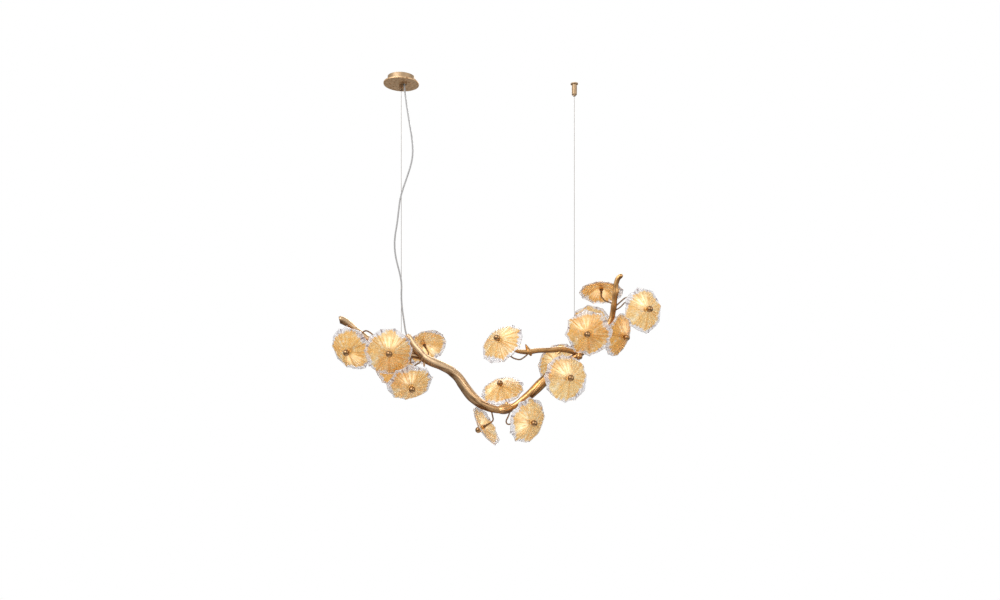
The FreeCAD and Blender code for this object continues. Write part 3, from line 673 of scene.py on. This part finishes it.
def leaf_height(tree, given, sine, cosine, turn, out, reach, share, drift):
    """Height of the dish at each place, with folds, veins, crinkles and the rim's wave."""
    seed = given["Seed"]
    dish = given["Depth"] * -1.0 * reach ** 1.35
    veins = (turn + drift * 0.9) * given["Veins"] * 0.5
    crest = veins.math("SINE").math("ABSOLUTE").one_minus() ** 3.0
    fold = share.math("ABSOLUTE") * 2.0 - 0.5
    raised = (crest + fold * 0.9) * given["Vein Height"] * reach ** 0.7
    around = vector_of(tree, cosine * 1.1, sine * 1.1, 0.7)
    wave = (noise_of(tree, around, 1.0, 0.0, seed) - 0.58) * 2.0 * given["Rim Wave"]
    flutes = vector_of(tree, cosine * 15.0, sine * 15.0, out * 40.0)
    crinkle = (noise_of(tree, flutes, 1.0, 1.0, seed) - 0.5) * 2.0
    crinkle = crinkle * given["Rim Crinkle"] * reach.ramp(0.55, 0.95)
    here = vector_of(tree, cosine * out, sine * out, 0.0)
    bump = (cells_of(tree, here, 210.0) - 0.4) * given["Pebble Height"] * -2.0
    bump = bump * reach.ramp(0.0, 0.12)
    return dish + raised + wave * reach ** 2.2 + crinkle + bump


def leaf_tree():
    """Dish of pressed glass: a closed profile carried round the hub, then set in place."""
    tree, given, result = geometry_tree("Glass Leaf", LEAF_INPUTS)
    grid = place(tree, "GeometryNodeMeshGrid",
                 {"Size X": 1.0, "Size Y": 1.0, "Vertices X": LEAF_RINGS,
                  "Vertices Y": LEAF_SPOKES})
    where = tree.nodes.new("GeometryNodeInputPosition").outputs[0]
    across, round_part, _ = parts_of(tree, where)
    turn = (round_part + 0.5) * TAU
    sine = turn.math("SINE")
    cosine = turn.math("COSINE")
    side = (across * -1.0).math("SIGN")
    reach = (across.math("ABSOLUTE") * 2.0).one_minus().math("MAXIMUM", 0.0)
    edge, share, drift = leaf_outline(tree, given, sine, cosine, turn)
    bore = given["Bore Radius"]
    out = bore + (edge - bore) * reach
    flat = given["Flat Radius"]
    open_part = ((out - flat) / (given["Radius"] - flat)).math("MAXIMUM", 0.0)
    height = leaf_height(tree, given, sine, cosine, turn, out, open_part, share, drift)
    lip = ((reach - 0.965) / 0.035).math("MAXIMUM", 0.0)
    round_lip = (lip * lip).one_minus().math("MAXIMUM", 0.0).math("SQRT")
    bead = (reach * 50.0).math("MINIMUM", 1.0)
    half = given["Thickness"] * 0.5
    lift = (side - 1.0) * half + side * half * (round_lip * bead - 1.0)
    local = vector_of(tree, cosine * out, sine * out, height + lift)
    # painted lamp glow: how strongly the lamp's light is painted into the glass, on the Lamp Side
    toward = place(tree, "ShaderNodeVectorMath",
                   {0: vector_of(tree, cosine, sine, 0.0), 1: given["Lamp Side"]},
                   operation="DOT_PRODUCT")
    spread = noise_of(tree, local, 26.0, 2.0, given["Seed"])
    beam = (Field(tree, toward.outputs["Value"]) + (spread - 0.5) * 0.9).ramp(0.5, 1.05)
    lit = beam * reach.ramp(0.04, 0.3) * reach.ramp(0.92, 0.35)
    stored = grid.outputs["Mesh"]
    for name, kind, value in (("leaf_place", "FLOAT_VECTOR", local),
                              ("leaf_reach", "FLOAT", reach),
                              ("leaf_tone", "FLOAT", given["Tone"]),
                              ("lamp_light", "FLOAT", lit)):
        store = place(tree, "GeometryNodeStoreNamedAttribute",
                      {"Geometry": stored, "Name": name, "Value": value},
                      data_type=kind, domain="POINT")
        stored = store.outputs[0]
    moved = place(tree, "GeometryNodeSetPosition", {"Geometry": stored, "Position": local})
    closed = place(tree, "GeometryNodeMergeByDistance",
                   {"Geometry": moved.outputs[0], "Distance": 2e-6})
    set_up = place(tree, "GeometryNodeTransform",
                   {"Geometry": closed.outputs[0], "Translation": given["Hub"],
                    "Rotation": given["Turn"]})
    finish_tree(tree, result, set_up.outputs[0], given["Glass"])
    return tree


def leaf_turn(facing):
    """Rotation that takes +Z to the way a leaf faces, with its +Y kept uppermost."""
    up = Vector((0, 0, 1))
    right = up.cross(facing).normalized()
    above = facing.cross(right)
    return Matrix((right, above, facing)).transposed()


class CHANDELIER_OT_leaves(bpy.types.Operator):
    """Press each glass leaf and set it on its hub"""

    bl_idname = "chandelier.leaves"
    bl_label = "Glass Leaves"

    def execute(self, context):
        glass = context.scene.chandelier_glass
        materials = scene_materials()
        tree = leaf_tree()
        for number in range(1, LEAF_COUNT + 1):
            joint = JOINTS["leaf_%02d_turn" % number]
            turn = leaf_turn(Vector(joint["axis"]).normalized())
            side = math.radians(LAMP_ANGLES[number - 1])
            values = {
                "Radius": glass.radius, "Depth": glass.depth, "Thickness": glass.thickness,
                "Flat Radius": HUB_FLAT * MM, "Bore Radius": HUB_BORE * MM,
                "Veins": glass.veins,
                "Vein Height": glass.vein_height, "Rim Wave": glass.rim_wave,
                "Edge Cut": glass.edge_cut, "Rim Crinkle": glass.crinkle,
                "Pebble Height": glass.pebble, "Facets": 8 + number % 4,
                "Seed": 3.1 * number, "Hub": Vector(joint["pos_m"]),
                "Turn": turn.to_euler(),
                "Lamp Side": Vector((math.cos(side), math.sin(side), 0.0)),
                "Tone": LEAF_TONES[number - 1], "Glass": materials["amber_glass"],
            }
            leaf = grown("leaf_glass_%02d" % number, tree, values)
            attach(leaf, "leaf_%02d" % number)
            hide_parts("glass_leaf_%02d" % number)
        return {"FINISHED"}


# ---- cast limbs -------------------------------------------------------------
def spine_of(stations):
    """Places and radii along a smooth line through the stations."""
    points = [Vector(station[:3]) * MM for station in stations]
    radii = [station[3] * MM for station in stations]
    ends = [points[0] * 2 - points[1]] + points + [points[-1] * 2 - points[-2]]
    fat = [radii[0]] + radii + [radii[-1]]
    line = []
    for index in range(1, len(ends) - 2):
        count = max(2, round((ends[index + 1] - ends[index]).length / (SPINE_STEP * MM)))
        for part in range(count):
            t = part / count
            line.append((blend4(ends, index, t), blend4(fat, index, t)))
    line.append((points[-1], radii[-1]))
    return line


def blend4(values, index, t):
    """Smooth curve through neighbouring values."""
    a, b, c, d = values[index - 1:index + 3]
    return (b * 2 + (c - a) * t + (a * 2 - b * 5 + c * 4 - d) * t * t
            + (b * 3 - a - c * 3 + d) * t * t * t) * 0.5


def frames_of(line):
    """Along, side and up directions carried along a spine without twisting."""
    frames = []
    side = Vector((0, 1, 0))
    for index in range(len(line)):
        before = line[max(index - 1, 0)][0]
        after = line[min(index + 1, len(line) - 1)][0]
        along = (after - before).normalized()
        side = (side - along * side.dot(along)).normalized()
        frames.append((along, side, along.cross(side)))
    return frames


def swept(line, frames):
    """Closed round skin along a spine."""
    skin = bmesh.new()
    angles = [TAU * k / LIMB_SIDES for k in range(LIMB_SIDES)]
    rings = []
    for (centre, radius), (_, side, up) in zip(line, frames):
        rings.append([
            skin.verts.new(centre + (side * math.cos(a) + up * math.sin(a)) * radius)
            for a in angles])
    for first, second in zip(rings, rings[1:]):
        for k in range(LIMB_SIDES):
            n = (k + 1) % LIMB_SIDES
            skin.faces.new((first[k], first[n], second[n], second[k]))
    skin.faces.new(list(reversed(rings[0])))
    skin.faces.new(rings[-1])
    return skin


def add_thorn(skin, foot, point, foot_radius, point_radius):
    foot = Vector(foot) * MM
    point = Vector(point) * MM
    axis = point - foot
    turn = axis.to_track_quat("Z", "Y").to_matrix().to_4x4()
    where = Matrix.Translation((foot + point) / 2) @ turn
    bmesh.ops.create_cone(skin, cap_ends=True, segments=THORN_SIDES,
                          radius1=foot_radius * MM, radius2=point_radius * MM,
                          depth=axis.length, matrix=where)


def bark_depth(s, angle, seed):
    """Bark lines and planed flats, each from 0 to 1, at a place on a limb."""
    twist = angle + s * 6.0
    ring = Vector((math.cos(twist), math.sin(twist), 0))
    long_lines = noise.noise(Vector((ring.x * 1.25 + seed, ring.y * 1.25, s * 5.0)))
    fine_lines = noise.noise(Vector((ring.x * 3.4, ring.y * 3.4 + seed, s * 9.0)))
    line = max(0.0, 1.0 - abs(long_lines) * 8.0)
    fine = max(0.0, 1.0 - abs(fine_lines) * 7.0)
    flat = 0.5 - 0.5 * math.cos(3 * angle + s * 12.0 + seed)
    return line * 0.8 + fine * 0.22, flat


def carve(made, line, frames, depth, seed):
    """Cut bark lines, planed flats and dents into a limb's skin, and store how dark each point is:
    brown in the bark lines, with painted shade on the faces that look down.
    """
    tree = kdtree.KDTree(len(line))
    lengths = [0.0]
    for index, (centre, _) in enumerate(line):
        tree.insert(centre, index)
        if index:
            lengths.append(lengths[-1] + (centre - line[index - 1][0]).length)
    tree.balance()
    mesh = made.data
    groove = mesh.attributes.new("groove_and_painted_shade", "FLOAT", "POINT")
    moved = []
    for vertex in mesh.vertices:
        _, index, _ = tree.find(vertex.co)
        along, side, up = frames[index]
        centre, radius = line[index]
        off = vertex.co - centre
        off = off - along * off.dot(along)
        angle = math.atan2(off.dot(up), off.dot(side))
        lines, flat = bark_depth(lengths[index], angle, seed)
        dent = noise.noise(vertex.co * 38.0 + Vector((seed, 0, 0)))
        share = min(1.0, radius / (FULL_BARK_RADIUS * MM)) ** 2
        cut = (lines * depth + (flat - 0.6) * 0.10 * radius + dent * 0.7 * MM) * share
        moved.append(vertex.co - off.normalized() * cut)
        # painted shade: faces that look down are darkened along with the bark lines
        under = max(0.0, -vertex.normal.z) ** 0.6
        groove.data[vertex.index].value = min(1.0, lines * 0.7 + under)
    for vertex, place_now in zip(mesh.vertices, moved):
        vertex.co = place_now
    mesh.update()


def limb(name, metal, seed):
    """One casting: a swept skin with its thorns, blended together and carved."""
    line = spine_of(LIMBS[name])
    frames = frames_of(line)
    skin = swept(line, frames)
    for thorn in THORNS.get(name, ()):
        add_thorn(skin, *thorn)
    mesh = bpy.data.meshes.new(name)
    skin.to_mesh(mesh)
    skin.free()
    made = remeshed(name + "_casting", mesh, LIMB_VOXEL)
    carve(made, line, frames, metal.groove * SMOOTHER.get(name, 1.0), seed)
    made.data.shade_smooth()
    return made


class CHANDELIER_OT_branch(bpy.types.Operator):
    """Cast the bough, its limbs and the knuckle collar"""

    bl_idname = "chandelier.branch"
    bl_label = "Cast Branch"

    def execute(self, context):
        metal = context.scene.chandelier_metal
        materials = scene_materials()
        for seed, name in enumerate(LIMBS):
            casting = limb(name, metal, seed * 5.3)
            dressed(casting, materials["cast_gold"])
            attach(casting, "branch")
            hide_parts(name)
        return {"FINISHED"}


# ---- canopy face ------------------------------------------------------------
HAMMER_INPUTS = [("Dimple Depth", "Float"), ("Dimples Per Metre", "Float"),
                 ("Metal", "Material")]
DIMPLES_PER_METRE = 130.0


def hammered_tree():
    """Hammer marks pressed into every face that looks down."""
    tree, given, result = geometry_tree("Hammered Face", HAMMER_INPUTS)
    where = tree.nodes.new("GeometryNodeInputPosition").outputs[0]
    normal = tree.nodes.new("GeometryNodeInputNormal").outputs[0]
    facing = parts_of(tree, normal)[2]
    down = facing.ramp(-0.6, -0.95)
    marks = cells_of(tree, where, given["Dimples Per Metre"]).one_minus()
    lift = marks * down * given["Dimple Depth"]
    moved = place(tree, "GeometryNodeSetPosition",
                  {"Geometry": given["Geometry"],
                   "Offset": vector_of(tree, 0.0, 0.0, lift)})
    finish_tree(tree, result, moved.outputs[0], given["Metal"])
    return tree


class CHANDELIER_OT_canopy(bpy.types.Operator):
    """Hammer the underside of the canopy plate"""

    bl_idname = "chandelier.canopy"
    bl_label = "Hammered Canopy"

    def execute(self, context):
        metal = context.scene.chandelier_metal
        material = scene_materials()["hammered_gold"]
        node = NODES["canopy_plate"]
        blank = node.data.copy()
        blank.transform(node.matrix_world)
        fine = remeshed("plate_fine", blank, PLATE_VOXEL)
        values = {"Dimple Depth": metal.dimple, "Dimples Per Metre": DIMPLES_PER_METRE,
                  "Metal": material}
        plate = grown("hammered_plate", hammered_tree(), values, fine.data)
        bpy.data.objects.remove(fine)
        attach(plate, "ceiling")
        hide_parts("canopy_plate")
        return {"FINISHED"}


# ---- cords ------------------------------------------------------------------
def cord_curve(name, points, diameter):
    """Smooth round cord along the given points."""
    curve = bpy.data.curves.new(name, "CURVE")
    curve.dimensions = "3D"
    curve.resolution_u = 12
    curve.bevel_depth = diameter / 2
    curve.bevel_resolution = 5
    curve.use_fill_caps = True
    spline = curve.splines.new("NURBS")
    spline.points.add(len(points) - 1)
    for point, place_now in zip(spline.points, points):
        point.co = (*place_now, 1.0)
    spline.order_u = 3
    spline.use_endpoint_u = True
    return new_object(name, curve)


def middle_line(name, points):
    """Points along the middle of the cord that is laid through these points."""
    line = evaluated(name + "_middle", cord_curve(name + "_middle", points, 0.0))
    found = [vertex.co.copy() for vertex in line.data.vertices]
    bpy.data.objects.remove(line)
    return found


class CHANDELIER_OT_cord(bpy.types.Operator):
    """Lay the clear power cord from the canopy to the bough, bending where it goes in"""

    bl_idname = "chandelier.cord"
    bl_label = "Power Cord"

    def execute(self, context):
        route = [Vector(point) * MM for point in CORD_ROUTE]
        line = middle_line("power_lead", route)
        laid = cord_curve("power_lead_laid", route, CORD_DIAMETER * MM)
        cord = dressed(evaluated("power_lead", laid), scene_materials()["clear_cord"])
        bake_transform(cord)
        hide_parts("power_cord")
        return {"FINISHED"}


class CHANDELIER_OT_wires(bpy.types.Operator):
    """Stretch the two suspension wires"""

    bl_idname = "chandelier.wires"
    bl_label = "Suspension Wires"

    def execute(self, context):
        for side in ("left", "right"):
            low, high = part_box(side + "_wire")
            middle = (low + high) / 2
            top = Vector((middle.x, middle.y, high.z))
            bottom = Vector((middle.x, middle.y, low.z))
            points = [top.lerp(bottom, share) for share in (0.0, 0.25, 0.5, 0.75, 1.0)]
            wire = cord_curve(side + "_rope", points, WIRE_DIAMETER * MM)
            wire.data.materials.append(scene_materials()["wire_rope"])
            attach(wire, side + "_hanger")
            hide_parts(side + "_wire")
        return {"FINISHED"}


# ---- fittings that keep their shape -----------------------------------------
class CHANDELIER_OT_fittings(bpy.types.Operator):
    """Finish the canopy, grippers, forks, stems, lamp cups, washers and nuts"""

    bl_idname = "chandelier.fittings"
    bl_label = "Metal Fittings"

    def execute(self, context):
        materials = scene_materials()
        for part in frame["record"]["subparts"]:
            node = NODES[part["node"]]
            if node.hide_render:
                continue
            node.data.materials.clear()
            node.data.materials.append(materials[part["material_slot"]])
        return {"FINISHED"}


# ---- stage ------------------------------------------------------------------
FLOOR_DARK = (0.80, 0.80, 0.79)
FLOOR_LIGHT = (0.84, 0.84, 0.83)
# the camera's place from the ceiling point, and how far its picture is shifted upwards
CAMERA_ACROSS = 0.3356
CAMERA_HEIGHT = -0.973
CAMERA_SHIFT = 0.0635
OBJECT_MIDDLE = (0.33, 0.0, -0.95)
FLOOR_RADIUS = 14.0
# distances from the middle over which the floor fades to white
FLOOR_FADE = (1.1, 1.75)
# place and size in metres, and power in watts
SOFTBOXES = {
    "key_light": ((-1.6, -2.6, 1.4), (2.4, 1.8), 75),
    "fill_light": ((2.9, -2.2, 0.2), (2.0, 2.4), 28),
    "rim_light": ((0.6, 2.6, 1.2), (2.6, 1.2), 45),
}


def seen_straight(tree):
    """1 for what the camera sees, also through glass, and 0 for light on surfaces."""
    path = tree.nodes.new("ShaderNodeLightPath")
    seen = Field(tree, path.outputs["Is Camera Ray"])
    return seen.math("MAXIMUM", path.outputs["Is Transmission Ray"])


def backdrop_world():
    """White to the eye and through glass, with soft grey light on surfaces."""
    world = bpy.data.worlds.new("Studio")
    world.use_nodes = True
    tree = world.node_tree
    tree.nodes.clear()
    strength = seen_straight(tree) * 0.4 + 0.6
    back = place(tree, "ShaderNodeBackground", {"Color": rgba(WHITE), "Strength": strength})
    output = tree.nodes.new("ShaderNodeOutputWorld")
    feed(tree, output.inputs[0], back.outputs[0])
    return world


def floor_material(centre):
    """Pale floor with soft shadows near the object, fading to the backdrop's white."""
    material, tree, shader = new_material("studio_floor", Roughness=0.6)
    where = object_place(tree)
    away = place(tree, "ShaderNodeVectorMath", {0: where, 1: centre}, operation="DISTANCE")
    grain = noise_of(tree, where, 3.0, 3.0)
    far = Field(tree, away.outputs["Value"]).ramp(*FLOOR_FADE)
    colour = mixed(tree, grain, rgba(FLOOR_DARK), rgba(FLOOR_LIGHT))
    drive(tree, shader, {"Base Color": colour})
    white = place(tree, "ShaderNodeEmission",
                  {"Color": rgba(WHITE), "Strength": seen_straight(tree) * 0.72 + 0.28})
    blend = place(tree, "ShaderNodeMixShader", {0: far, 1: shader.outputs[0],
                                                2: white.outputs[0]})
    output = next(node for node in tree.nodes if node.type == "OUTPUT_MATERIAL")
    feed(tree, output.inputs["Surface"], blend.outputs[0])
    return material


def softbox(name, place_now, size, power):
    """Rectangular lamp that points at the middle of the object."""
    light = bpy.data.lights.new(name, "AREA")
    light.shape = "RECTANGLE"
    light.size, light.size_y = size
    light.energy = power
    lamp = new_object(name, light)
    lamp.location = place_now
    aim = Vector(OBJECT_MIDDLE) - Vector(place_now)
    lamp.rotation_euler = aim.to_track_quat("-Z", "Y").to_euler()


class CHANDELIER_OT_stage(bpy.types.Operator):
    """Set the camera, the pale floor and the soft studio light"""

    bl_idname = "chandelier.stage"
    bl_label = "Studio Stage"

    def execute(self, context):
        stage = context.scene.chandelier_stage
        camera = new_object("camera", bpy.data.cameras.new("camera"))
        camera.location = (CAMERA_ACROSS, -stage.distance, CAMERA_HEIGHT)
        camera.rotation_euler = (math.pi / 2, 0, 0)
        camera.data.lens = stage.lens
        camera.data.sensor_width = 36.0
        camera.data.shift_y = CAMERA_SHIFT
        context.scene.camera = camera
        centre = Vector((*OBJECT_MIDDLE[:2], stage.floor))
        disc = bmesh.new()
        bmesh.ops.create_circle(disc, cap_ends=True, segments=96, radius=FLOOR_RADIUS,
                                matrix=Matrix.Translation(centre))
        mesh = bpy.data.meshes.new("floor")
        disc.to_mesh(mesh)
        disc.free()
        floor = new_object("floor", mesh)
        mesh.materials.append(floor_material(centre))
        for name, (place_now, size, power) in SOFTBOXES.items():
            softbox(name, place_now, size, power * stage.level)
        context.scene.world = backdrop_world()
        context.scene.view_settings.view_transform = "Standard"
        return {"FINISHED"}


class CHANDELIER_PT_panel(bpy.types.Panel):
    """Lists the chandelier's pieces in the order that they are made"""

    bl_idname = "CHANDELIER_PT_panel"
    bl_label = "Branch Chandelier"
    bl_space_type = "VIEW_3D"
    bl_region_type = "UI"
    bl_category = "Chandelier"

    def draw(self, context):
        layout = self.layout
        for group in (context.scene.chandelier_glass, context.scene.chandelier_metal,
                      context.scene.chandelier_stage):
            box = layout.box()
            for name in group.__annotations__:
                box.prop(group, name)
        for operator in STEPS:
            layout.operator(operator.bl_idname)


STEPS = (
    CHANDELIER_OT_stage,
    CHANDELIER_OT_cord,
    CHANDELIER_OT_wires,
    CHANDELIER_OT_canopy,
    CHANDELIER_OT_branch,
    CHANDELIER_OT_leaves,
    CHANDELIER_OT_fittings,
)
GROUPS = {
    "chandelier_glass": ChandelierGlass,
    "chandelier_metal": ChandelierMetal,
    "chandelier_stage": ChandelierStage,
}


def register():
    for name, group in GROUPS.items():
        bpy.utils.register_class(group)
        setattr(bpy.types.Scene, name, PointerProperty(type=group))
    for operator in STEPS:
        bpy.utils.register_class(operator)
    bpy.utils.register_class(CHANDELIER_PT_panel)


def unregister():
    bpy.utils.unregister_class(CHANDELIER_PT_panel)
    for operator in reversed(STEPS):
        bpy.utils.unregister_class(operator)
    for name, group in reversed(GROUPS.items()):
        delattr(bpy.types.Scene, name)
        bpy.utils.unregister_class(group)


def main():
    register()
    bpy.ops.chandelier.stage()
    bpy.ops.chandelier.cord()
    bpy.ops.chandelier.wires()
    bpy.ops.chandelier.canopy()
    bpy.ops.chandelier.branch()
    bpy.ops.chandelier.leaves()
    bpy.ops.chandelier.fittings()


if __name__ == "__main__":
    main()
